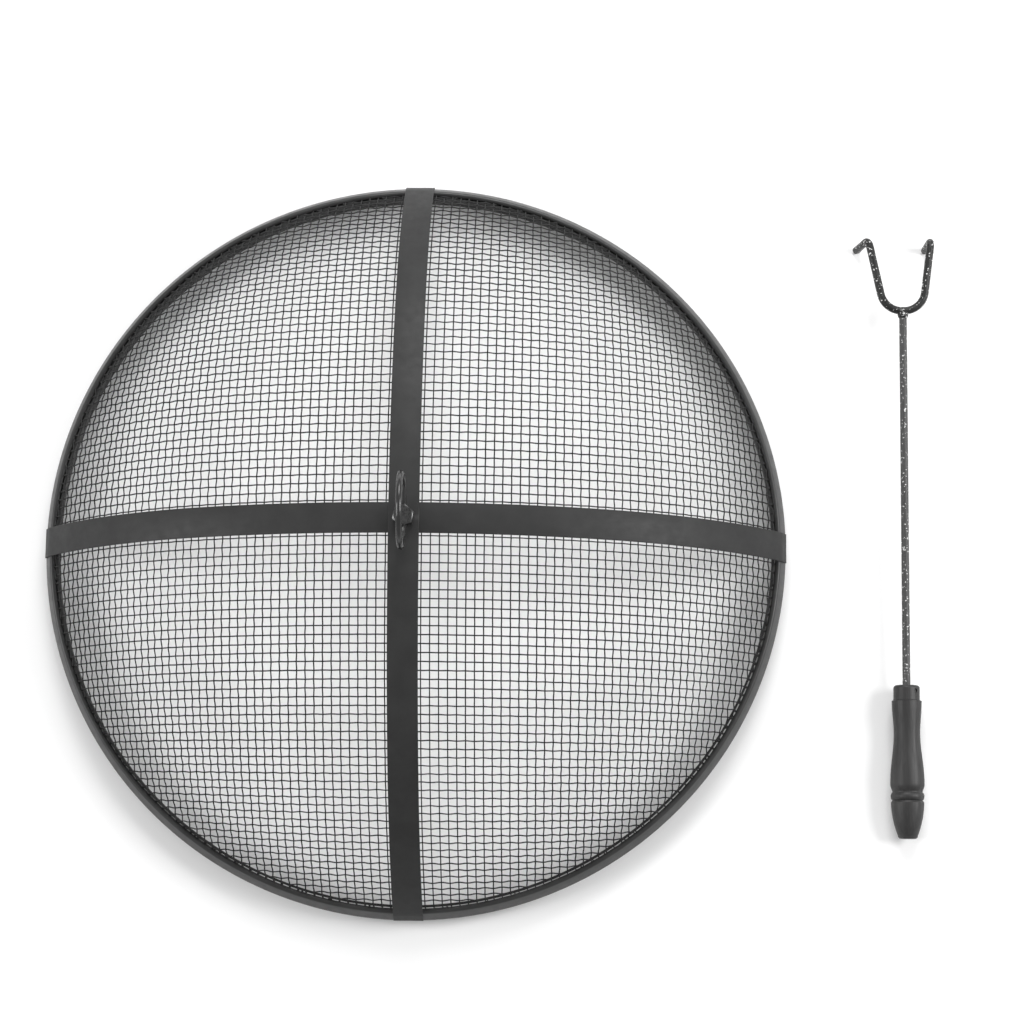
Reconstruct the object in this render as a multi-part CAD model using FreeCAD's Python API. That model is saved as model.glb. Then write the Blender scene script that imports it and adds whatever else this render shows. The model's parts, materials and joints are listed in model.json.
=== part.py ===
import FreeCAD, Part
import math
import os

# Domed spark screen for a round fire pit, with its lifting poker beside it.
# Millimetres, +Z up. The origin is on the axis of the rim, in the plane that the
# screen stands on. The poker lies parallel to Y on the +X side.

V = FreeCAD.Vector
UP = V(0, 0, 1)

# --- rim hoop: one sheet, an upright wall folded over into a sloping lip ---
rim_radius = 381.0        # outermost point of the rolled edge
rim_height = 34.0         # from the floor to the top of the fold
lip_width = 10.0          # from the wall's outer face to the rim radius
lip_drop = 17.0           # from the top of the fold to the bottom of the rolled edge
rim_sheet = 1.5
fold_inside_radius = 1.5
rolled_edge_radius = 2.0
fold_facets = 8           # flats that the rounded fold is made of
edge_facets = 12          # flats round the rolled edge

# --- woven wire dome, as a thin closed skin ---
dome_height = 201.0       # outer surface at the middle, above the floor
crown_radius = 560.0
crown_reach = 200.0       # the crown's arc ends this far out
mesh_skin = 0.5
mesh_above_fold = 1.0     # where the dome turns down inside the wall
mesh_skirt = 12.0         # turned-down edge of the mesh, below the fold
mesh_wall_gap = 0.3
mesh_seat_gap = 0.8       # room for the crimp of the wires on each side of the skin

# --- hoop that holds the turned-down edge of the mesh against the wall ---
clamp_thickness = 2.4
clamp_height = 10.0
clamp_round = 0.6

# --- two crossing straps ---
strap_width = 30.0
strap_thickness = 1.5
strap_tail = 11.0         # length of a strap's end down the lip
strap_gap = 0.3           # between the straps where they cross
lip_gap = 0.1             # between a strap's tail and the lip
weld_radius = 1.5

# --- bolt through the crossing, with a hole across its head for the ring ---
bolt_diameter = 12.0
bolt_clearance = 0.5      # all round, in the straps and the mesh
head_flats = 19.0
head_height = 13.0
head_twist = 20.0         # degrees, of the head about its axis
head_face_diameter = 17.8 # round flat on top, inside the turned-off corners
bolt_stickout = 3.0       # past the nut
seat_gap = 0.05           # between flat faces of the stack

backing_washer_diameter = 36.0
backing_washer_thickness = 2.5
spring_washer_diameter = 21.0
spring_washer_thickness = 2.6
spring_washer_slit = 1.5
nut_flats = 19.0
nut_height = 10.0

# --- lift ring ---
ring_diameter = 76.2      # outside
ring_wire = 6.3
ring_clearance = 0.3      # round the wire, in the hole across the head

# --- poker: fork, rod and turned handle ---
poker_offset = 121.5      # from the rim's outermost point to the poker's axis
poker_forward = 248.5     # Y of the bottom of the fork
poker_wire = 8.0          # rod and fork
fork_bend_radius = 22.0
fork_flat = 2.0           # straight bottom of the fork, where the rod is welded
prong_length = 75.0       # from the bottom of the fork to the hooks
left_lean = 12.3          # degrees, each prong outwards
right_lean = 7.2
hook_drop = 34.0          # below the fork's plane, to the tip
hook_bend_radius = 7.0
hook_back = 8.0           # degrees, each hook towards the handle
left_splay = 17.5         # degrees, each hook outwards
right_splay = -5.5
rod_length = 384.0        # between the fork and the handle
rod_in_handle = 70.0
rod_fit = 0.1             # between the rod and its bore
fork_weld_radius = 5.6

handle_length = 155.0
collar_length = 15.0
collar_diameter = 26.6
collar_round = 3.0
shoulder_length = 1.0     # slope from the collar out to the neck
neck_diameter = 30.2
waist_at = 49.0           # from the top of the collar
waist_diameter = 26.6
bulge_at = 100.0
bulge_diameter = 34.5
bead_at = 112.3
bead_width = 8.0
bead_diameter = 34.0
groove_diameter = 30.5
groove_width = 2.2
end_diameter = 33.5
end_tip_diameter = 19.9
end_round = 3.0
end_belly = 1.6           # the end's side bulges this much past a straight line

pin_diameter = 4.0
pin_at = 6.0              # from the top of the collar
pin_angle = 38.0          # degrees from straight up, towards +X
pin_recess = 1.5
pin_fit = 0.1

# --- values that follow ---
wall_outer = rim_radius - lip_width
wall_inner = wall_outer - rim_sheet
fold_radius = fold_inside_radius + rim_sheet
fold_centre = (wall_outer + fold_inside_radius, rim_height - fold_radius)
edge_centre = (
    rim_radius - rolled_edge_radius,
    rim_height - lip_drop + rolled_edge_radius,
)


# ---------------------------------------------------------------- plane helpers
# A plane point is (r, z). The half plane is XZ with r along +X.

def flat(point):
    return V(point[0], 0, point[1])


def moved(point, direction, distance):
    return (point[0] + direction[0] * distance, point[1] + direction[1] * distance)


def height_on(centre, radius, r):
    """Height of the upper half of a circle at distance r from the axis."""
    return centre[1] + math.sqrt(radius ** 2 - (r - centre[0]) ** 2)


def line(a, b):
    return Part.LineSegment(flat(a), flat(b)).toShape()


def arc_on(centre, radius, r_from, r_to):
    """Arc on the upper half of a circle, between two distances from the axis."""
    points = []
    for r in (r_from, (r_from + r_to) / 2, r_to):
        points.append(V(r, 0, height_on(centre, radius, r)))
    return Part.Arc(*points).toShape()


def angle_of(centre, point):
    return math.atan2(point[1] - centre[1], point[0] - centre[0])


def arc_points(centre, radius, start, end, facets):
    """Corners of an arc that is rolled in flat facets, from one angle to another."""
    points = []
    for step in range(facets + 1):
        angle = start + (end - start) * step / facets
        points.append(moved(centre, (math.cos(angle), math.sin(angle)), radius))
    return points


def face_of(edges):
    return Part.Face(Part.Wire(Part.__sortEdges__(edges)))


def polygon_face(points):
    corners = [flat(p) for p in points]
    return Part.Face(Part.makePolygon(corners + [corners[0]]))


def turned(face):
    return face.revolve(V(0, 0, 0), UP, 360)


def joined(shapes):
    solid = shapes[0].multiFuse(shapes[1:]).removeSplitter()
    return largest_solid(solid)


def largest_solid(shape):
    return max(shape.Solids, key=lambda s: s.Volume)


# ---------------------------------------------------------------- shared curves

def lip_face_line():
    """Outer face of the lip: it touches the fold and the rolled edge from outside.

    Gives its two touching points, its direction down the lip and its normal.
    """
    across = (edge_centre[0] - fold_centre[0], edge_centre[1] - fold_centre[1])
    length = math.hypot(*across)
    along = (across[0] / length, across[1] / length)
    outward = (-along[1], along[0])
    lean = (fold_radius - rolled_edge_radius) / length
    rest = math.sqrt(1 - lean ** 2)
    normal = (along[0] * lean + outward[0] * rest, along[1] * lean + outward[1] * rest)
    top = moved(fold_centre, normal, fold_radius)
    bottom = moved(edge_centre, normal, rolled_edge_radius)
    return top, bottom, (normal[1], -normal[0]), normal


def dome_curve(apex, end):
    """Crown arc on the axis, then a shoulder arc that starts in line with it.

    Gives the crown's centre, the shoulder's centre and the shoulder's radius.
    """
    crown_centre = (0, apex - crown_radius)
    slope = math.asin(crown_reach / crown_radius)
    start = (crown_reach, height_on(crown_centre, crown_radius, crown_reach))
    drop = start[1] - end[1]
    run = end[0] - start[0]
    chord_slope = math.atan2(drop, run)
    radius = math.hypot(drop, run) / (2 * math.sin(chord_slope - slope))
    centre = (start[0] - radius * math.sin(slope), start[1] - radius * math.cos(slope))
    return crown_centre, centre, radius


mesh_edge = (wall_inner - mesh_wall_gap, rim_height + mesh_above_fold)
mesh_crown, mesh_shoulder, mesh_shoulder_radius = dome_curve(dome_height, mesh_edge)
lip_top, lip_bottom, lip_way, lip_normal = lip_face_line()
strap_landing = moved(lip_top, lip_normal, lip_gap)
lower_strap_apex = dome_height + mesh_seat_gap
upper_strap_apex = lower_strap_apex + strap_thickness + strap_gap
head_seat = upper_strap_apex + strap_thickness + seat_gap


# ---------------------------------------------------------------- the screen

def make_rim_hoop():
    """One sheet: up the wall, over the fold, down the lip and into the rolled edge."""
    depth = rolled_edge_radius - rim_sheet
    run = math.sqrt(rolled_edge_radius ** 2 - depth ** 2)
    lip_inside_end = moved(moved(edge_centre, lip_normal, depth), lip_way, -run)
    edge_start = angle_of(edge_centre, lip_inside_end)
    edge_end = angle_of(edge_centre, lip_bottom)
    over = math.atan2(lip_normal[1], lip_normal[0])
    inside_fold = arc_points(fold_centre, fold_inside_radius, math.pi, over, fold_facets)
    outside_fold = arc_points(fold_centre, fold_radius, over, math.pi, fold_facets)
    rolled_edge = arc_points(
        edge_centre, rolled_edge_radius, edge_start - 2 * math.pi, edge_end, edge_facets)
    wall_foot = [(wall_inner, 0), (wall_outer, 0)]
    return turned(polygon_face(wall_foot + inside_fold + rolled_edge + outside_fold))


def make_mesh_dome():
    inner_edge = mesh_edge[0] - mesh_skin
    hole = bolt_diameter / 2 + bolt_clearance
    skirt_end = rim_height - mesh_skirt
    inner_crown = crown_radius - mesh_skin
    inner_shoulder = mesh_shoulder_radius - mesh_skin
    reach_inside = crown_reach * inner_crown / crown_radius
    outer_start = (hole, height_on(mesh_crown, crown_radius, hole))
    inner_start = (hole, height_on(mesh_crown, inner_crown, hole))
    inner_end = (inner_edge, height_on(mesh_shoulder, inner_shoulder, inner_edge))
    edges = [
        arc_on(mesh_crown, crown_radius, hole, crown_reach),
        arc_on(mesh_shoulder, mesh_shoulder_radius, crown_reach, mesh_edge[0]),
        line(mesh_edge, (mesh_edge[0], skirt_end)),
        line((mesh_edge[0], skirt_end), (inner_edge, skirt_end)),
        line((inner_edge, skirt_end), inner_end),
        arc_on(mesh_shoulder, inner_shoulder, inner_edge, reach_inside),
        arc_on(mesh_crown, inner_crown, reach_inside, hole),
        line(inner_start, outer_start),
    ]
    return turned(face_of(edges))


def make_clamp_hoop():
    outer = mesh_edge[0] - mesh_skin - mesh_wall_gap
    inner = outer - clamp_thickness
    bottom = rim_height - mesh_skirt
    hoop = turned(polygon_face([
        (inner, bottom),
        (outer, bottom),
        (outer, bottom + clamp_height),
        (inner, bottom + clamp_height),
    ]))
    inside_edges = []
    for edge in hoop.Edges:
        if edge.Closed and edge.BoundBox.XMax < (inner + outer) / 2:
            inside_edges.append(edge)
    return hoop.makeFillet(clamp_round, inside_edges)


def make_strap(underside_apex):
    """Strap along X: an arch over the dome, and a tail down the lip at each end."""
    crown, shoulder, shoulder_radius = dome_curve(underside_apex, strap_landing)
    landing_normal = (
        (strap_landing[0] - shoulder[0]) / shoulder_radius,
        (strap_landing[1] - shoulder[1]) / shoulder_radius,
    )
    top_landing = moved(strap_landing, landing_normal, strap_thickness)
    top_crown = crown_radius + strap_thickness
    top_shoulder = shoulder_radius + strap_thickness
    top_reach = crown_reach * top_crown / crown_radius
    middle_low = (0, underside_apex)
    middle_high = (0, underside_apex + strap_thickness)
    arch = face_of([
        arc_on(crown, crown_radius, 0, crown_reach),
        arc_on(shoulder, shoulder_radius, crown_reach, strap_landing[0]),
        line(strap_landing, top_landing),
        arc_on(shoulder, top_shoulder, top_landing[0], top_reach),
        arc_on(crown, top_crown, top_reach, 0),
        line(middle_high, middle_low),
    ])
    tail_end = moved(strap_landing, lip_way, strap_tail)
    tail_top = moved(strap_landing, lip_normal, strap_thickness)
    tail = polygon_face([
        strap_landing,
        tail_end,
        moved(tail_end, lip_normal, strap_thickness),
        tail_top,
    ])
    faces = [arch, tail]
    if math.dist(top_landing, tail_top) > 0.001:
        faces.append(polygon_face([strap_landing, top_landing, tail_top]))
    half = []
    for face in faces:
        half.append(face.extrude(V(0, strap_width, 0)))
    for solid in half:
        solid.translate(V(0, -strap_width / 2, 0))
    right = joined(half)
    left = right.copy()
    left.rotate(V(0, 0, 0), UP, 180)
    strap = joined([right, left])
    return strap.cut(bolt_hole())


def relieved(strap, rim):
    """A strap that would dip into the fold on a wider, flatter screen is cut back there."""
    return largest_solid(strap.cut(rim))


def bolt_hole():
    radius = bolt_diameter / 2 + bolt_clearance
    return Part.makeCylinder(radius, head_seat, V(0, 0, 0), UP)


def make_strap_weld(strap, rim):
    """Fillet of weld under the +X end of a strap, in the corner that it makes."""
    end = moved(strap_landing, lip_way, strap_tail)
    start = V(end[0], -strap_width / 2, end[1])
    bar = Part.makeCylinder(weld_radius, strap_width, start, V(0, 1, 0))
    return largest_solid(bar.cut(strap).cut(rim))


# ---------------------------------------------------------------- bolt and ring

def hex_prism(flats, height, base):
    radius = flats / math.sqrt(3)
    corners = []
    for side in range(7):
        angle = math.radians(60 * side)
        corners.append(V(radius * math.cos(angle), radius * math.sin(angle), base))
    return Part.Face(Part.makePolygon(corners)).extrude(V(0, 0, height))


def chamfered_hex(flats, height, base):
    """Hexagon whose top corners are turned off at 30 degrees."""
    reach = flats / math.sqrt(3) + 1
    top = base + height
    face_radius = head_face_diameter / 2
    fall = (reach - face_radius) * math.tan(math.radians(30))
    envelope = turned(polygon_face([
        (0, base),
        (reach, base),
        (reach, top - fall),
        (face_radius, top),
        (0, top),
    ]))
    return hex_prism(flats, height, base).common(envelope)


def ring_radius():
    return (ring_diameter - ring_wire) / 2


def ring_sag():
    """Rise of the ring's curved wire between the middle and the side of the head."""
    half_head = head_flats / math.sqrt(3)
    return ring_radius() - math.sqrt(ring_radius() ** 2 - half_head ** 2)


def ring_pivot_height():
    return head_seat + head_height / 2


def make_ring_bolt():
    head = chamfered_hex(head_flats, head_height, head_seat)
    head.rotate(V(0, 0, 0), UP, head_twist)
    bottom = nut_top() - nut_height - bolt_stickout
    shank = Part.makeCylinder(
        bolt_diameter / 2, head_seat - bottom + 1, V(0, 0, bottom), UP)
    end_edges = [e for e in shank.Edges if e.Closed and e.BoundBox.ZMax < bottom + 0.1]
    shank = shank.makeChamfer(1.0, end_edges)
    hole_radius = ring_wire / 2 + ring_sag() / 2 + ring_clearance
    hole = Part.makeCylinder(
        hole_radius, 4 * head_flats, V(0, -2 * head_flats, ring_pivot_height()), V(0, 1, 0))
    return joined([head, shank]).cut(hole)


def washer_top():
    """The backing washer's edge is as close to the curved mesh as it may be."""
    inner_crown = crown_radius - mesh_skin
    edge = height_on(mesh_crown, inner_crown, backing_washer_diameter / 2)
    return edge - mesh_seat_gap


def spring_washer_top():
    return washer_top() - backing_washer_thickness - seat_gap


def nut_top():
    return spring_washer_top() - spring_washer_thickness - seat_gap


def make_washer(diameter, thickness, top):
    base = V(0, 0, top - thickness)
    bore = bolt_diameter / 2 + bolt_clearance / 2
    disc = Part.makeCylinder(diameter / 2, thickness, base, UP)
    return disc.cut(Part.makeCylinder(bore, thickness, base, UP))


def make_spring_washer():
    washer = make_washer(spring_washer_diameter, spring_washer_thickness, spring_washer_top())
    base = spring_washer_top() - spring_washer_thickness
    slit = Part.makeBox(
        spring_washer_diameter,
        spring_washer_slit,
        spring_washer_thickness,
        V(0, -spring_washer_slit / 2, base),
    )
    return washer.cut(slit)


def make_nut():
    base = nut_top() - nut_height
    nut = hex_prism(nut_flats, nut_height, base)
    bore = Part.makeCylinder(bolt_diameter / 2 + seat_gap, nut_height, V(0, 0, base), UP)
    return nut.cut(bore)


def make_lift_ring():
    centre_height = ring_pivot_height() - ring_sag() / 2 + ring_radius()
    return Part.makeTorus(ring_radius(), ring_wire / 2, V(0, 0, centre_height), V(1, 0, 0))


# ---------------------------------------------------------------- the poker
# Built along +Y with its axis on Y and the bottom of the fork at y = 0, then laid
# down on the floor.

def bent_path(points, radii):
    """Straight runs through points, with an arc of the given radius at each bend."""
    edges = []
    start = points[0]
    for before, corner, after, radius in zip(points, points[1:], points[2:], radii):
        way_in = (corner - before).normalize()
        way_out = (after - corner).normalize()
        turn = way_in.getAngle(way_out)
        reach = radius * math.tan(turn / 2)
        arc_start = corner - way_in * reach
        arc_end = corner + way_out * reach
        inward = (way_out - way_in).normalize()
        to_centre = radius / math.cos(turn / 2)
        middle = corner + inward * (to_centre - radius)
        edges.append(Part.LineSegment(start, arc_start).toShape())
        edges.append(Part.Arc(arc_start, middle, arc_end).toShape())
        start = arc_end
    edges.append(Part.LineSegment(start, points[-1]).toShape())
    return Part.Wire(edges)


def round_bar(path, radius):
    """Round bar along a path, with a rounded tip at each end."""
    first = path.Edges[0]
    last = path.Edges[-1]
    tip = first.valueAt(first.FirstParameter)
    tail = last.valueAt(last.LastParameter)
    way = first.tangentAt(first.FirstParameter)
    section = Part.Wire(Part.makeCircle(radius, tip, way))
    bar = path.makePipeShell([section], True, False)
    caps = [Part.makeSphere(radius, tip), Part.makeSphere(radius, tail)]
    return joined([bar] + caps)


def hook_reach_back():
    """How far a hook's tip is behind its corner."""
    return (hook_drop - poker_wire / 2) * math.tan(math.radians(hook_back))


def hook_tip(corner, side, splay):
    """Tip of a hook that goes down from its corner and leans out to one side."""
    drop = hook_drop - poker_wire / 2
    out = drop * math.tan(math.radians(splay))
    return corner + V(side * out, -hook_reach_back(), -drop)


def prong_top(side, lean):
    """Corner where a prong turns down into its hook."""
    angle = math.radians(lean)
    bend_reach = fork_bend_radius * math.tan((math.pi / 2 - angle) / 2)
    foot = fork_flat / 2 + bend_reach
    return V(side * (foot + prong_length * math.tan(angle)), prong_length, 0)


def prong_foot(side, lean):
    """Corner of the fork, where its bottom line meets the line of a prong."""
    angle = math.radians(lean)
    bend_reach = fork_bend_radius * math.tan((math.pi / 2 - angle) / 2)
    return V(side * (fork_flat / 2 + bend_reach), 0, 0)


def make_fork():
    left = prong_top(-1, left_lean)
    right = prong_top(1, right_lean)
    points = [
        hook_tip(left, -1, left_splay),
        left,
        prong_foot(-1, left_lean),
        prong_foot(1, right_lean),
        right,
        hook_tip(right, 1, right_splay),
    ]
    radii = [hook_bend_radius, fork_bend_radius, fork_bend_radius, hook_bend_radius]
    return round_bar(bent_path(points, radii), poker_wire / 2)


def rod_start():
    return -poker_wire / 2 - seat_gap


def collar_top():
    return rod_start() - rod_length


def along_rod(distance):
    """Point on the rod's axis, at a distance below the top of the collar."""
    return V(0, collar_top() - distance, 0)


def make_rod():
    length = rod_length + rod_in_handle
    rod = Part.makeCylinder(poker_wire / 2, length, V(0, rod_start(), 0), V(0, -1, 0))
    return rod.cut(pin_bar(pin_diameter / 2 + pin_fit, collar_diameter))


def make_fork_weld(fork, rod):
    ball = Part.makeSphere(fork_weld_radius, V(0, rod_start(), 0))
    return largest_solid(ball.cut(fork).cut(rod))


def pin_bar(radius, length):
    angle = math.radians(pin_angle)
    way = V(math.sin(angle), 0, math.cos(angle))
    start = along_rod(pin_at) - way * (length / 2)
    return Part.makeCylinder(radius, length, start, way)


def make_pin():
    return pin_bar(pin_diameter / 2, collar_diameter - 2 * pin_recess)


def handle_outline():
    """Outside of the handle, from the top of the collar to the end of the grip.

    Points are (distance from the collar's top, radius); the waist is one curve.
    """
    collar = collar_diameter / 2
    neck = neck_diameter / 2
    groove = groove_diameter / 2
    bead_start = bead_at - bead_width / 2
    bead_end = bead_at + bead_width / 2
    return {
        "collar": quarter_round(0, collar, collar_round, 1) + [(collar_length, collar)],
        "neck": (collar_length + shoulder_length, neck),
        "waist": (waist_at, waist_diameter / 2),
        "bulge": (bulge_at, bulge_diameter / 2),
        "first_groove": (bead_start - groove_width / 2, groove),
        "bead_start": (bead_start, groove),
        "bead_top": (bead_at, bead_diameter / 2),
        "bead_end": (bead_end, groove),
        "end_start": (bead_end + groove_width, end_diameter / 2),
        "tip": quarter_round(handle_length, end_tip_diameter / 2, end_round, -1),
    }


def quarter_round(end, radius, size, way):
    """Rounded corner of the outline; way is 1 at the collar's end and -1 at the tip."""
    inset = size * (1 - math.sqrt(0.5))
    points = [
        (end, radius - size),
        (end + way * inset, radius - inset),
        (end + way * size, radius),
    ]
    return points if way > 0 else points[::-1]


def axial(point):
    """Outline point to space: distance down from the collar, and radius along X."""
    return V(point[1], collar_top() - point[0], 0)


def make_handle():
    outline = handle_outline()
    collar = outline["collar"]
    tip = outline["tip"]
    end_start = outline["end_start"]
    end_middle = (
        (end_start[0] + tip[0][0]) / 2,
        (end_start[1] + tip[0][1]) / 2 + end_belly,
    )
    grip = Part.BSplineCurve()
    level = V(0, -1, 0)
    grip.interpolate(
        Points=[axial(outline[n]) for n in ("neck", "waist", "bulge", "first_groove")],
        Tangents=[level] * 4,
        TangentFlags=[True, True, True, False],
    )
    edges = [
        Part.LineSegment(axial((0, 0)), axial(collar[0])),
        Part.Arc(*[axial(p) for p in collar[:3]]),
        Part.LineSegment(axial(collar[2]), axial(collar[3])),
        Part.LineSegment(axial(collar[3]), axial(outline["neck"])),
        grip,
        Part.LineSegment(axial(outline["first_groove"]), axial(outline["bead_start"])),
        Part.Arc(*[axial(outline[n]) for n in ("bead_start", "bead_top", "bead_end")]),
        Part.LineSegment(axial(outline["bead_end"]), axial(end_start)),
        Part.Arc(axial(end_start), axial(end_middle), axial(tip[0])),
        Part.Arc(*[axial(p) for p in tip]),
        Part.LineSegment(axial(tip[2]), axial((handle_length, 0))),
        Part.LineSegment(axial((handle_length, 0)), axial((0, 0))),
    ]
    outline_face = Part.Face(Part.Wire([e.toShape() for e in edges]))
    wood = outline_face.revolve(V(0, 0, 0), V(0, 1, 0), 360)
    bore = Part.makeCylinder(
        poker_wire / 2 + rod_fit, rod_in_handle + rod_fit, along_rod(0), V(0, -1, 0))
    return wood.cut(bore).cut(pin_bar(pin_diameter / 2 + pin_fit, 2 * collar_diameter))


def lay_down(shape):
    """Tip the poker until its hooks and the bulge of its handle are level, on z = 0."""
    bulge = (along_rod(bulge_at).y, -bulge_diameter / 2)
    hook = (prong_length - hook_reach_back(), -hook_drop)
    tilt = math.atan2(bulge[1] - hook[1], hook[0] - bulge[0])
    floor = bulge[0] * math.sin(tilt) + bulge[1] * math.cos(tilt)
    shape.rotate(V(0, 0, 0), V(1, 0, 0), math.degrees(tilt))
    shape.translate(V(rim_radius + poker_offset, poker_forward, -floor))
    return shape


# ---------------------------------------------------------------- write the pieces

def around(shape, angle):
    copy = shape.copy()
    copy.rotate(V(0, 0, 0), UP, angle)
    return copy


def make_screen():
    rim = make_rim_hoop()
    lower = relieved(make_strap(lower_strap_apex), rim)
    upper = relieved(make_strap(upper_strap_apex), around(rim, -90))
    lower_weld = make_strap_weld(lower, rim)
    upper_weld = make_strap_weld(upper, rim)
    return {
        "rim_hoop": rim,
        "mesh_dome": make_mesh_dome(),
        "mesh_clamp_hoop": make_clamp_hoop(),
        "lower_strap": lower,
        "upper_strap": around(upper, 90),
        "right_strap_weld": lower_weld,
        "left_strap_weld": around(lower_weld, 180),
        "far_strap_weld": around(upper_weld, 90),
        "near_strap_weld": around(upper_weld, 270),
        "ring_bolt": make_ring_bolt(),
        "backing_washer": make_washer(
            backing_washer_diameter, backing_washer_thickness, washer_top()),
        "spring_washer": make_spring_washer(),
        "bolt_nut": make_nut(),
        "lift_ring": make_lift_ring(),
    }


def make_poker():
    fork = make_fork()
    rod = make_rod()
    pieces = {
        "poker_fork": fork,
        "poker_rod": rod,
        "fork_weld": make_fork_weld(fork, rod),
        "poker_handle": make_handle(),
        "handle_pin": make_pin(),
    }
    return {name: lay_down(shape) for name, shape in pieces.items()}


os.makedirs("parts", exist_ok=True)
nodes = make_screen()
nodes.update(make_poker())
for name, shape in nodes.items():
    shape.exportStep(f"parts/{name}.step")
    box = shape.BoundBox
    print(f"{name:18s} solids {len(shape.Solids)} valid {shape.isValid()} "
          f"z {box.ZMin:.1f} to {box.ZMax:.1f} volume {shape.Volume:.0f}")
print(f"ring pivot height {ring_pivot_height():.3f}")
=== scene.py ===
import json
import math

import bpy
import numpy as np
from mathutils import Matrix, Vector


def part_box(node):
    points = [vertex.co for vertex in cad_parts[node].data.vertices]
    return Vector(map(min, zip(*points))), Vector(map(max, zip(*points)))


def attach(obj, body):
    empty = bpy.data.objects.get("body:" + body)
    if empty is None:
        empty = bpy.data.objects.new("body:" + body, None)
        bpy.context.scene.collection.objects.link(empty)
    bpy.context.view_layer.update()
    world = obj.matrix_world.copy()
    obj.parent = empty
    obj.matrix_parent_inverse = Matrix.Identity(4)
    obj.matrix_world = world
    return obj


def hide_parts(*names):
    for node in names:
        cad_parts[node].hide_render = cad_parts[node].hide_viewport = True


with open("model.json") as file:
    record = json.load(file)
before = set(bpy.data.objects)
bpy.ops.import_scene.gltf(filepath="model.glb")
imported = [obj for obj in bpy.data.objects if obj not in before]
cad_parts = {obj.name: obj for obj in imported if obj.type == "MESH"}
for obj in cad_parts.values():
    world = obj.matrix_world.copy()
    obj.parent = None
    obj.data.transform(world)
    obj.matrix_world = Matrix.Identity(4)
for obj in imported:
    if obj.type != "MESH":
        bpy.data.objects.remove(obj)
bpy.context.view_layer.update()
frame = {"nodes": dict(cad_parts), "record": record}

MM = 0.001

# Shape values that the frame's boxes don't hold, in metres, as the CAD part has them.
LIP_DROP = 17.0 * MM          # top of the fold to the bottom of the rolled edge
RIM_SHEET = 1.5 * MM
FOLD_INSIDE = 1.5 * MM        # radius
ROLLED_EDGE = 2.0 * MM        # radius
CROWN_RADIUS = 560.0 * MM
CROWN_REACH = 200.0 * MM
MESH_SKIN = 0.5 * MM
MESH_ABOVE_FOLD = 1.0 * MM    # where the mesh turns down inside the wall
CLAMP_THICKNESS = 2.4 * MM
CLAMP_ROUND = 0.6 * MM
LIP_GAP = 0.1 * MM
STRAP_THICKNESS = 1.5 * MM
STRAP_CORNER = 3.0 * MM       # rounding of the corners at its ends
STRAP_TAIL = 11.0 * MM        # length of its end down the lip
STRAP_EDGE = 0.45 * MM        # rounding of a strap's long edges
CORNER_STEPS = 8              # along each rounded corner
WALL_CORNER = 0.3 * MM        # rounding of the rim's lower edge

# The woven mesh.
WIRE_RADIUS = 0.66 * MM
MESH_PITCH = 8.68 * MM        # along a wire, from crossing to crossing
CRIMP = 0.66 * MM             # a wire's rise and fall at the crossings
STEPS_PER_PITCH = 4
WIRE_SIDES = 6
SKIN_SAG = 0.04 * MM          # the CAD skin's apex is this far over its meshed box
EDGE_CLEARANCE = 0.3 * MM     # a wire's woven part stops this far inside the edge
TURN_DROP = 0.6 * MM          # from the edge of the dome to the start of the turned-down end
TURN_LENGTH = 4 * MM          # its first stretch, straight down
END_CLEARANCE = 1 * MM        # over the lower end of the CAD skin

# Stage.
FLOOR_HALF = 6.0
FLOOR_DROP = 0.02 * MM        # below z = 0, so that it doesn't share a plane with the rim
FLOOR_CORNERS = ((-1, -1), (1, -1), (1, 1), (-1, 1))
WORLD_STRENGTH = 0.46

# Camera: almost overhead, leaning towards +X and -Y.
CAMERA_PLACE = (0.1751, -0.4453, 2.8797)
CAMERA_TURN = (9.7221, 1.5477, 0.6331)     # degrees
CAMERA_LENS = 100.33
CAMERA_SENSOR = 36.0


# ---------------------------------------------------------------- sizes from the frame

def mount(name):
    return next(m for m in frame["record"]["mounts"] if m["name"] == name)


rim_low, rim_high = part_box("rim_hoop")
mesh_low, mesh_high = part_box("mesh_dome")
clamp_low, clamp_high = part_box("mesh_clamp_hoop")
RIM_RADIUS = rim_high[0]
RIM_HEIGHT = rim_high[2]
WALL_OUTER = mount("rim_spigot")["dims"]["r_mm"] * MM
WALL_INNER = WALL_OUTER - RIM_SHEET
FOLD_RADIUS = FOLD_INSIDE + RIM_SHEET
FOLD_CENTRE = (WALL_OUTER + FOLD_INSIDE, RIM_HEIGHT - FOLD_RADIUS)
EDGE_CENTRE = (RIM_RADIUS - ROLLED_EDGE, RIM_HEIGHT - LIP_DROP + ROLLED_EDGE)
MESH_EDGE = (mesh_high[0], RIM_HEIGHT + MESH_ABOVE_FOLD)


# ---------------------------------------------------------------- plane curves
# A plane point is (r, z), measured from the rim's axis.

def moved(point, direction, distance):
    return (point[0] + direction[0] * distance, point[1] + direction[1] * distance)


def lip_face_line():
    """Outer face of the lip: its two ends, its direction downwards and its normal."""
    across = (EDGE_CENTRE[0] - FOLD_CENTRE[0], EDGE_CENTRE[1] - FOLD_CENTRE[1])
    length = math.hypot(*across)
    along = (across[0] / length, across[1] / length)
    outward = (-along[1], along[0])
    lean = (FOLD_RADIUS - ROLLED_EDGE) / length
    rest = math.sqrt(1 - lean ** 2)
    normal = (along[0] * lean + outward[0] * rest, along[1] * lean + outward[1] * rest)
    top = moved(FOLD_CENTRE, normal, FOLD_RADIUS)
    bottom = moved(EDGE_CENTRE, normal, ROLLED_EDGE)
    return top, bottom, (normal[1], -normal[0]), normal


LIP_TOP, LIP_BOTTOM, LIP_WAY, LIP_NORMAL = lip_face_line()


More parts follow.
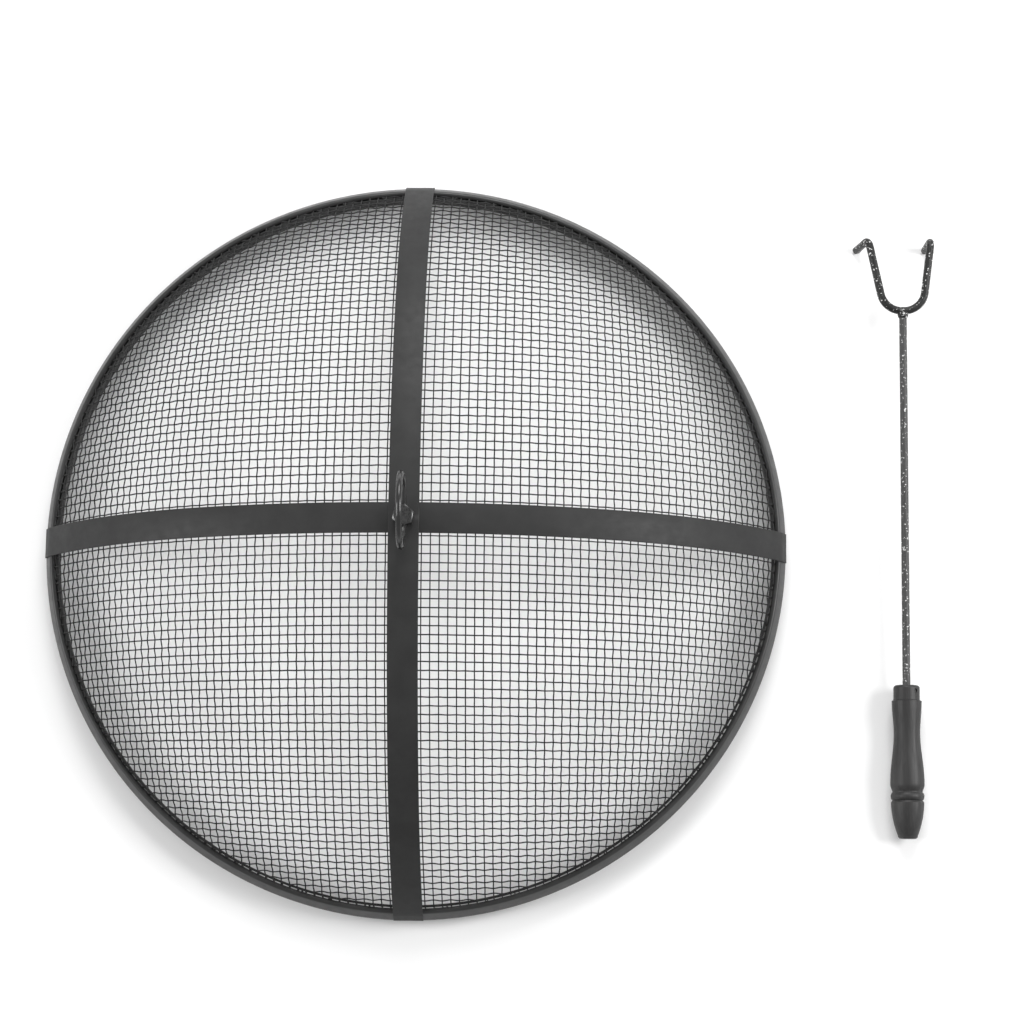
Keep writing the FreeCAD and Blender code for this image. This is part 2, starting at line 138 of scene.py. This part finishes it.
def dome_curve(apex, end):
    """Crown arc on the axis, then a shoulder arc in line with it that reaches end."""
    crown = (0.0, apex - CROWN_RADIUS)
    slope = math.asin(CROWN_REACH / CROWN_RADIUS)
    start = (CROWN_REACH, crown[1] + CROWN_RADIUS * math.cos(slope))
    drop = start[1] - end[1]
    run = end[0] - start[0]
    chord = math.atan2(drop, run)
    radius = math.hypot(drop, run) / (2 * math.sin(chord - slope))
    shoulder = (start[0] - radius * math.sin(slope), start[1] - radius * math.cos(slope))
    return crown, shoulder, radius, slope, 2 * chord - slope


def arc_points(centre, radius, start, end, count):
    """Points on an arc; angles are measured from straight up, towards +r."""
    points = []
    for k in range(count + 1):
        angle = start + (end - start) * k / count
        points.append((centre[0] + radius * math.sin(angle), centre[1] + radius * math.cos(angle)))
    return points


# ---------------------------------------------------------------- mesh building

def new_piece(name, vertices, faces, body, slot_name, material, smooth_angle=40):
    data = bpy.data.meshes.new(name)
    data.from_pydata([tuple(v) for v in vertices], [], faces)
    data.update()
    data.shade_smooth()
    data.set_sharp_from_angle(angle=math.radians(smooth_angle))
    piece = bpy.data.objects.new(name, data)
    bpy.context.scene.collection.objects.link(piece)
    data.materials.append(material)
    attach(piece, body)
    return piece


def lathe(name, profile, segments, *rest):
    """Ring turned about Z from a closed outline of plane points."""
    count = len(profile)
    vertices = []
    for s in range(segments):
        angle = 2 * math.pi * s / segments
        for r, z in profile:
            vertices.append((r * math.cos(angle), r * math.sin(angle), z))
    faces = []
    for s in range(segments):
        after = (s + 1) % segments
        for k in range(count):
            nxt = (k + 1) % count
            faces.append((s * count + k, s * count + nxt, after * count + nxt, after * count + k))
    return new_piece(name, vertices, faces, *rest)


# ---------------------------------------------------------------- materials

class Nodes:
    """Short way to write a material's node tree."""

    def __init__(self, name):
        self.material = bpy.data.materials.new(name)
        self.material.use_nodes = True
        self.tree = self.material.node_tree
        self.shader = self.tree.nodes["Principled BSDF"]
        self.place = self.add("ShaderNodeTexCoord").outputs["Object"]

    def add(self, kind, **settings):
        node = self.tree.nodes.new(kind)
        for key, value in settings.items():
            if key in node.inputs:
                node.inputs[key].default_value = value
            else:
                setattr(node, key, value)
        return node

    def link(self, output, target):
        self.tree.links.new(output, target)

    def scaled(self, scale):
        node = self.add("ShaderNodeMapping")
        node.inputs["Scale"].default_value = scale
        self.link(self.place, node.inputs["Vector"])
        return node.outputs["Vector"]

    def noise(self, scale, detail=3.0, roughness=0.55, vector=None):
        node = self.add("ShaderNodeTexNoise", Scale=scale, Detail=detail, Roughness=roughness)
        self.link(vector or self.place, node.inputs["Vector"])
        return node.outputs["Fac"]

    def ramp(self, value, stops):
        node = self.add("ShaderNodeValToRGB")
        elements = node.color_ramp.elements
        while len(elements) < len(stops):
            elements.new(0.5)
        for element, (position, tone) in zip(elements, stops):
            element.position = position
            colour = tone if isinstance(tone, tuple) else (tone, tone, tone)
            element.color = (*colour, 1.0)
        self.link(value, node.inputs["Fac"])
        return node.outputs["Color"]

    def mix(self, factor, first, second):
        node = self.add("ShaderNodeMix", data_type="RGBA")
        self.link(factor, node.inputs["Factor"])
        self.link(first, node.inputs["A"])
        self.link(second, node.inputs["B"])
        return node.outputs["Result"]

    def bump(self, height, distance, strength=1.0, under=None):
        node = self.add("ShaderNodeBump", Strength=strength, Distance=distance)
        self.link(height, node.inputs["Height"])
        if under is not None:
            self.link(under, node.inputs["Normal"])
        return node.outputs["Normal"]


def paint_material(name, dark, light, rough_low, rough_high, grain, shine=0.5, chips=0.0):
    """Black stove paint: mottled tone, fine orange peel, edges worn a little lighter."""
    n = Nodes(name)
    mottle = n.ramp(n.noise(35.0, 4.0), [(0.35, dark), (0.7, light)])
    edge = n.add("ShaderNodeNewGeometry").outputs["Pointiness"]
    worn = n.ramp(edge, [(0.52, 0.0), (0.62, 0.45)])
    bare = n.ramp(n.noise(900.0, 2.0), [(0.3, 0.07), (0.8, 0.14)])
    colour = n.mix(worn, mottle, bare)
    if chips:
        spots = n.ramp(n.noise(420.0, 1.0), [(chips, 0.0), (chips + 0.02, 1.0)])
        metal = n.ramp(n.noise(200.0), [(0.0, 0.45), (1.0, 0.8)])
        colour = n.mix(spots, colour, metal)
    n.link(colour, n.shader.inputs["Base Color"])
    rough = n.ramp(n.noise(120.0, 3.0), [(0.3, rough_low), (0.7, rough_high)])
    n.link(rough, n.shader.inputs["Roughness"])
    n.shader.inputs["Specular IOR Level"].default_value = shine
    peel = n.bump(n.noise(1100.0, 2.0), grain)
    n.link(n.bump(n.noise(60.0, 2.0), 4 * grain, under=peel), n.shader.inputs["Normal"])
    return n.material


def fastener_material():
    """Black oxide on machined steel, with fine turning marks."""
    n = Nodes("black_oxide")
    tone = n.ramp(n.noise(300.0, 4.0), [(0.3, 0.035), (0.75, 0.09)])
    n.link(tone, n.shader.inputs["Base Color"])
    n.shader.inputs["Metallic"].default_value = 0.65
    rough = n.ramp(n.noise(500.0), [(0.3, 0.22), (0.7, 0.36)])
    n.link(rough, n.shader.inputs["Roughness"])
    n.link(n.bump(n.noise(1500.0, 2.0), 0.00003), n.shader.inputs["Normal"])
    return n.material


def wood_material():
    """Black-stained turned wood: grain along the handle, a few open pores, satin wax."""
    n = Nodes("stained_wood")
    grain = n.noise(1.0, 5.0, 0.65, n.scaled((420.0, 14.0, 420.0)))
    pores = n.noise(1.0, 2.0, 0.5, n.scaled((1500.0, 60.0, 1500.0)))
    tone = n.ramp(grain, [(0.3, (0.010, 0.0095, 0.0095)), (0.55, (0.018, 0.0175, 0.0175)),
                          (0.8, (0.034, 0.033, 0.032))])
    n.link(tone, n.shader.inputs["Base Color"])
    rough = n.ramp(grain, [(0.3, 0.6), (0.8, 0.42)])
    n.link(rough, n.shader.inputs["Roughness"])
    fine = n.bump(pores, 0.00012, 0.5)
    n.link(n.bump(grain, 0.00025, 0.6, under=fine), n.shader.inputs["Normal"])
    return n.material


def floor_material():
    n = Nodes("studio_floor")
    tone = n.ramp(n.noise(2.0), [(0.2, 0.88), (0.8, 0.9)])
    n.link(tone, n.shader.inputs["Base Color"])
    n.shader.inputs["Roughness"].default_value = 0.9
    n.shader.inputs["Specular IOR Level"].default_value = 0.1
    return n.material


rim_paint = paint_material("rim_paint", 0.018, 0.028, 0.34, 0.46, 0.00004, 0.42)
# Painted shade: the same paint as the rim, made darker so that the clamp hoop reads as the shaded
# inside of the wall.
painted_shade_clamp_paint = paint_material("painted_shade_clamp_paint", 0.008, 0.014, 0.45, 0.6, 0.00004)
strap_paint = paint_material("strap_paint", 0.017, 0.023, 0.5, 0.6, 0.00004, 0.3)
wire_paint = paint_material("wire_paint", 0.003, 0.005, 0.55, 0.65, 0.00002, 0.08)
ring_paint = paint_material("ring_paint", 0.016, 0.026, 0.16, 0.26, 0.00004)
poker_paint = paint_material("poker_paint", 0.010, 0.019, 0.26, 0.38, 0.0003, 0.3, chips=0.66)
black_oxide = fastener_material()
stained_wood = wood_material()


# ---------------------------------------------------------------- rim and clamp hoop

def rim_profile():
    """Closed outline: up the wall's outside, under the lip, round the edge and back."""
    lip_slope = math.atan2(LIP_NORMAL[0], LIP_NORMAL[1])
    corner = WALL_CORNER
    depth = ROLLED_EDGE - RIM_SHEET
    run = math.sqrt(ROLLED_EDGE ** 2 - depth ** 2)
    meet = moved(moved(EDGE_CENTRE, LIP_NORMAL, depth), LIP_WAY, -run)
    meet_slope = math.atan2(meet[0] - EDGE_CENTRE[0], meet[1] - EDGE_CENTRE[1])
    points = [(WALL_INNER + corner, 0.0), (WALL_OUTER - corner, 0.0), (WALL_OUTER, corner)]
    points += arc_points(FOLD_CENTRE, FOLD_INSIDE, -math.pi / 2, lip_slope, 8)
    points += arc_points(EDGE_CENTRE, ROLLED_EDGE, meet_slope, lip_slope - 2 * math.pi, 18)
    points += arc_points(FOLD_CENTRE, FOLD_RADIUS, lip_slope, -math.pi / 2, 12)
    points.append((WALL_INNER, corner))
    return points


def build_rim():
    piece = lathe("rim_hoop_fine", rim_profile(), 288, "screen", "painted_steel", rim_paint)
    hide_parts("rim_hoop")


def build_clamp_hoop():
    outer = clamp_high[0]
    inner = outer - CLAMP_THICKNESS
    low = clamp_low[2]
    high = clamp_high[2]
    corner = CLAMP_ROUND
    profile = [(outer, low), (outer, high)]
    profile += arc_points((inner + corner, high - corner), corner, 0.0, -math.pi / 2, 4)
    profile += arc_points((inner + corner, low + corner), corner, -math.pi / 2, -math.pi, 4)
    # The hoop takes the darker paint, which paints in the shade inside the wall.
    piece = lathe("mesh_clamp_hoop_fine", profile, 240, "screen", "painted_steel", painted_shade_clamp_paint)
    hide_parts("mesh_clamp_hoop")


# ---------------------------------------------------------------- woven mesh

class Dome:
    """Middle surface of the mesh: height and outward normal above a plan point."""

    def __init__(self):
        apex = mesh_high[2] + SKIN_SAG - MESH_SKIN / 2
        end = (MESH_EDGE[0] - MESH_SKIN / 2, MESH_EDGE[1])
        self.crown, self.shoulder, self.radius, _, _ = dome_curve(apex, end)
        self.edge = end[0]
        self.edge_height = end[1]

    def height(self, r):
        if r < CROWN_REACH:
            return self.crown[1] + math.sqrt(CROWN_RADIUS ** 2 - r * r)
        return self.shoulder[1] + math.sqrt(self.radius ** 2 - (r - self.shoulder[0]) ** 2)

    def fall(self, r):
        """Slope downwards, per unit of r."""
        if r < CROWN_REACH:
            return r / math.sqrt(CROWN_RADIUS ** 2 - r * r)
        out = r - self.shoulder[0]
        return out / math.sqrt(self.radius ** 2 - out * out)

    def point(self, x, y):
        return (x, y, self.height(math.hypot(x, y)))

    def normal(self, x, y):
        r = math.hypot(x, y)
        if r < 1e-9:
            return (0.0, 0.0, 1.0)
        fall = self.fall(r)
        size = math.sqrt(1 + fall * fall)
        return (fall * x / r / size, fall * y / r / size, 1 / size)

    def reach(self, distance):
        """Distance from the axis of a point this far down a meridian."""
        crown_angle = math.asin(CROWN_REACH / CROWN_RADIUS)
        if distance < CROWN_RADIUS * crown_angle:
            return CROWN_RADIUS * math.sin(distance / CROWN_RADIUS)
        angle = crown_angle + (distance - CROWN_RADIUS * crown_angle) / self.radius
        return self.shoulder[0] + self.radius * math.sin(angle)


def next_crossing(dome, a, b, before):
    """Point of the dome one pitch from both a and b, on the side away from before."""
    x = a[0] + b[0] - before[0]
    y = a[1] + b[1] - before[1]
    for _ in range(8):
        r = math.hypot(x, y)
        z = dome.height(r)
        fall = dome.fall(r)
        rows = []
        for q in (a, b):
            dx, dy, dz = x - q[0], y - q[1], z - q[2]
            miss = dx * dx + dy * dy + dz * dz - MESH_PITCH ** 2
            rows.append((2 * (dx - dz * fall * x / r), 2 * (dy - dz * fall * y / r), miss))
        (p, q, e), (s, t, f) = rows
        det = p * t - q * s
        x -= (e * t - q * f) / det
        y -= (p * f - e * s) / det
    return dome.point(x, y)


def drape_quarter(dome):
    """Crossings of the draped net for i, j from 0: {(i, j): point}, out past the edge."""
    stop = dome.edge + 1.6 * MESH_PITCH
    net = {}
    count = 0
    while dome.reach(count * MESH_PITCH) < stop:
        reach = dome.reach(count * MESH_PITCH)
        net[count, 0] = dome.point(reach, 0.0)
        net[0, count] = dome.point(0.0, reach)
        count += 1
    for i in range(1, count):
        for j in range(1, count):
            known = [(i - 1, j), (i, j - 1), (i - 1, j - 1)]
            if not all(k in net for k in known):
                break
            near = [net[k] for k in known]
            if all(math.hypot(p[0], p[1]) > dome.edge for p in near[:2]):
                break
            found = next_crossing(dome, *near)
            if math.hypot(found[0], found[1]) < stop:
                net[i, j] = found
    return net, count


def wire_points(dome, net, count, fixed, along_y):
    """Line of one wire, over and under its crossings, from rim to rim."""
    crossings = []
    for k in range(-count, count + 1):
        i, j = (fixed, k) if along_y else (k, fixed)
        found = net.get((abs(i), abs(j)))
        if found is None:
            continue
        x = math.copysign(found[0], i) if i else 0.0
        y = math.copysign(found[1], j) if j else 0.0
        crossings.append((k, x, y))
    inside = [n for n, c in enumerate(crossings) if math.hypot(c[1], c[2]) < dome.edge]
    if len(inside) < 2:
        return None
    first = max(inside[0] - 1, 0)
    last = min(inside[-1] + 1, len(crossings) - 1)
    start_up = 1 if along_y else -1
    places = []
    for (k, x0, y0), (_, x1, y1) in zip(crossings[first:last], crossings[first + 1:last + 1]):
        side = start_up * (1 if (fixed + k) % 2 == 0 else -1)
        for step in range(STEPS_PER_PITCH):
            t = step / STEPS_PER_PITCH
            lift = side * CRIMP * math.cos(math.pi * t)
            places.append((x0 + (x1 - x0) * t, y0 + (y1 - y0) * t, lift))
    places.append((crossings[last][1], crossings[last][2], 0.0))
    kept = [p for p in places if math.hypot(p[0], p[1]) < dome.edge - EDGE_CLEARANCE]
    points = []
    for x, y, lift in kept:
        n = dome.normal(x, y)
        p = dome.point(x, y)
        points.append((p[0] + n[0] * lift, p[1] + n[1] * lift, p[2] + n[2] * lift))
    return turned_down(dome, points)


def turned_down(dome, points):
    """The same wire with each end carried to the edge and bent down inside the wall."""
    ends = []
    for tip in (points[0], points[-1]):
        r = math.hypot(tip[0], tip[1])
        x = tip[0] / r * dome.edge
        y = tip[1] / r * dome.edge
        top = dome.edge_height - TURN_DROP
        ends.append([(x, y, top), (x, y, top - TURN_LENGTH), (x, y, mesh_low[2] + END_CLEARANCE)])
    return ends[0][::-1] + points + ends[1]


def tube(points, radius, sides):
    """Closed round bar along a line of points: its vertices and faces."""
    line = np.array(points)
    along = np.gradient(line, axis=0)
    along /= np.linalg.norm(along, axis=1)[:, None]
    if abs(along[0][2]) < 0.9:
        guide = np.array([0.0, 0.0, 1.0])
    else:
        guide = line[0] / np.linalg.norm(line[0])
    across = []
    for way in along:
        guide = guide - way * np.dot(guide, way)
        guide = guide / np.linalg.norm(guide)
        across.append(guide)
    across = np.array(across)
    other = np.cross(along, across)
    angles = 2 * np.pi * np.arange(sides) / sides
    cosines = np.cos(angles)[None, :, None]
    sines = np.sin(angles)[None, :, None]
    ring = across[:, None] * cosines + other[:, None] * sines
    vertices = (line[:, None] + radius * ring).reshape(-1, 3)
    faces = []
    for k in range(len(points) - 1):
        for s in range(sides):
            t = (s + 1) % sides
            faces.append((k * sides + s, k * sides + t, (k + 1) * sides + t, (k + 1) * sides + s))
    faces.append(tuple(range(sides))[::-1])
    end = (len(points) - 1) * sides
    faces.append(tuple(range(end, end + sides)))
    return vertices, faces


def build_mesh():
    dome = Dome()
    net, count = drape_quarter(dome)
    third = count // 3
    groups = {"left": range(-count, -third), "middle": range(-third, third + 1),
              "right": range(third + 1, count + 1)}
    for family, along_y in (("warp", True), ("weft", False)):
        for side, numbers in groups.items():
            vertices = []
            faces = []
            for fixed in numbers:
                points = wire_points(dome, net, count, fixed, along_y)
                if points is None:
                    continue
                new_vertices, new_faces = tube(points, WIRE_RADIUS, WIRE_SIDES)
                base = len(vertices)
                vertices.extend(new_vertices.tolist())
                faces.extend([tuple(base + k for k in face) for face in new_faces])
            piece = new_piece(f"woven_{family}_{side}", vertices, faces,
                              "screen", "painted_wire", wire_paint, 60)
            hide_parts("mesh_dome")


# ---------------------------------------------------------------- straps

def strap_line(apex):
    """Underside of a strap in the plane of its length: points and outward normals."""
    landing = moved(LIP_TOP, LIP_NORMAL, LIP_GAP)
    crown, shoulder, radius, slope, end_slope = dome_curve(apex, landing)
    half = []
    for centre, size, start, end, count in (
        (crown, CROWN_RADIUS, 0.0, slope, 30),
        (shoulder, radius, slope, end_slope, 44),
    ):
        for k in range(count):
            angle = start + (end - start) * k / count
            normal = (math.sin(angle), math.cos(angle))
            half.append((moved(centre, normal, size), normal))
    for k in range(6):
        reach = (STRAP_TAIL - STRAP_CORNER) * k / 6
        half.append((moved(landing, LIP_WAY, reach), LIP_NORMAL))
    turns = [math.pi / 2 * k / CORNER_STEPS for k in range(CORNER_STEPS + 1)]
    for turn in turns:
        reach = STRAP_TAIL - STRAP_CORNER * (1 - math.sin(turn))
        half.append((moved(landing, LIP_WAY, reach), LIP_NORMAL))
    mirrored = []
    for (x, z), (nx, nz) in half[:0:-1]:
        mirrored.append(((-x, z), (-nx, nz)))
    narrowed = [STRAP_CORNER * (1 - math.cos(turn)) for turn in turns]
    full = len(mirrored) + len(half) - 2 * len(turns)
    narrow = narrowed[::-1] + [0.0] * full + narrowed
    return mirrored + half, narrow


def strap_section(width):
    """Outline of the bar across its length: (across, up) with rounded edges."""
    points = []
    for side, up, start in ((1, 1, 0), (-1, 1, 90), (-1, -1, 180), (1, -1, 270)):
        centre_across = side * (width / 2 - STRAP_EDGE)
        centre_up = STRAP_THICKNESS / 2 + up * (STRAP_THICKNESS / 2 - STRAP_EDGE)
        for k in range(4):
            angle = math.radians(start + 30 * k)
            points.append((centre_across + STRAP_EDGE * math.cos(angle),
                           centre_up + STRAP_EDGE * math.sin(angle)))
    return points


def build_strap(node, along_x):
    low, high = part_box(node)
    width = high[1] - low[1] if along_x else high[0] - low[0]
    line, narrow = strap_line(high[2] - STRAP_THICKNESS)
    section = strap_section(width)
    count = len(section)
    vertices = []
    for ((r, z), normal), less in zip(line, narrow):
        share = 1 - 2 * less / width
        for across, up in section:
            place = (r + normal[0] * up, across * share, z + normal[1] * up)
            vertices.append(place if along_x else (-place[1], place[0], place[2]))
    faces = []
    for k in range(len(line) - 1):
        for s in range(count):
            t = (s + 1) % count
            faces.append((k * count + s, (k + 1) * count + s, (k + 1) * count + t, k * count + t))
    faces.append(tuple(range(count)))
    end = (len(line) - 1) * count
    faces.append(tuple(range(end, end + count))[::-1])
    piece = new_piece(node + "_fine", vertices, faces, "screen", "painted_steel", strap_paint, 50)
    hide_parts(node)


# ---------------------------------------------------------------- pieces kept from CAD

def paint_cad_nodes():
    finishes = (
        (black_oxide, ("ring_bolt", "backing_washer", "spring_washer", "bolt_nut")),
        (ring_paint, ("lift_ring",)),
        (poker_paint, ("poker_fork", "poker_rod", "fork_weld", "handle_pin")),
        (stained_wood, ("poker_handle",)),
        (strap_paint, ("right_strap_weld", "left_strap_weld",
                       "far_strap_weld", "near_strap_weld")),
    )
    for material, names in finishes:
        for name in names:
            node = frame["nodes"][name]
            node.data.materials.clear()
            node.data.materials.append(material)


# ---------------------------------------------------------------- stage

def build_floor():
    data = bpy.data.meshes.new("floor")
    corners = [(x * FLOOR_HALF, y * FLOOR_HALF, -FLOOR_DROP) for x, y in FLOOR_CORNERS]
    data.from_pydata(corners, [], [(0, 1, 2, 3)])
    floor = bpy.data.objects.new("floor", data)
    bpy.context.scene.collection.objects.link(floor)
    data.materials.append(floor_material())


def add_light(name, place, size, power, aim=(0.05, 0.0, 0.05)):
    light = bpy.data.lights.new(name, "AREA")
    light.shape = "SQUARE"
    light.size = size
    light.energy = power
    lamp = bpy.data.objects.new(name, light)
    lamp.location = place
    way = [a - b for a, b in zip(aim, place)]
    lamp.rotation_euler = Vector(way).to_track_quat("-Z", "Y").to_euler()
    bpy.context.scene.collection.objects.link(lamp)


def light_stage():
    world = bpy.data.worlds.new("studio")
    world.use_nodes = True
    background = world.node_tree.nodes["Background"]
    background.inputs["Color"].default_value = (1.0, 1.0, 1.0, 1.0)
    background.inputs["Strength"].default_value = WORLD_STRENGTH
    bpy.context.scene.world = world
    add_light("far_softbox", (0.3, 2.7, 2.3), 1.6, 80.0)
    add_light("right_softbox", (2.8, 0.3, 2.0), 1.4, 75.0)
    add_light("left_softbox", (-2.8, -0.2, 2.0), 1.4, 60.0)


def build_camera():
    data = bpy.data.cameras.new("camera")
    data.sensor_width = CAMERA_SENSOR
    data.lens = CAMERA_LENS
    camera = bpy.data.objects.new("camera", data)
    camera.location = CAMERA_PLACE
    camera.rotation_euler = [math.radians(a) for a in CAMERA_TURN]
    bpy.context.scene.collection.objects.link(camera)
    bpy.context.scene.camera = camera


build_rim()
build_clamp_hoop()
build_mesh()
build_strap("lower_strap", True)
build_strap("upper_strap", False)
paint_cad_nodes()
build_floor()
light_stage()
build_camera()
bpy.context.scene.view_settings.view_transform = "Standard"
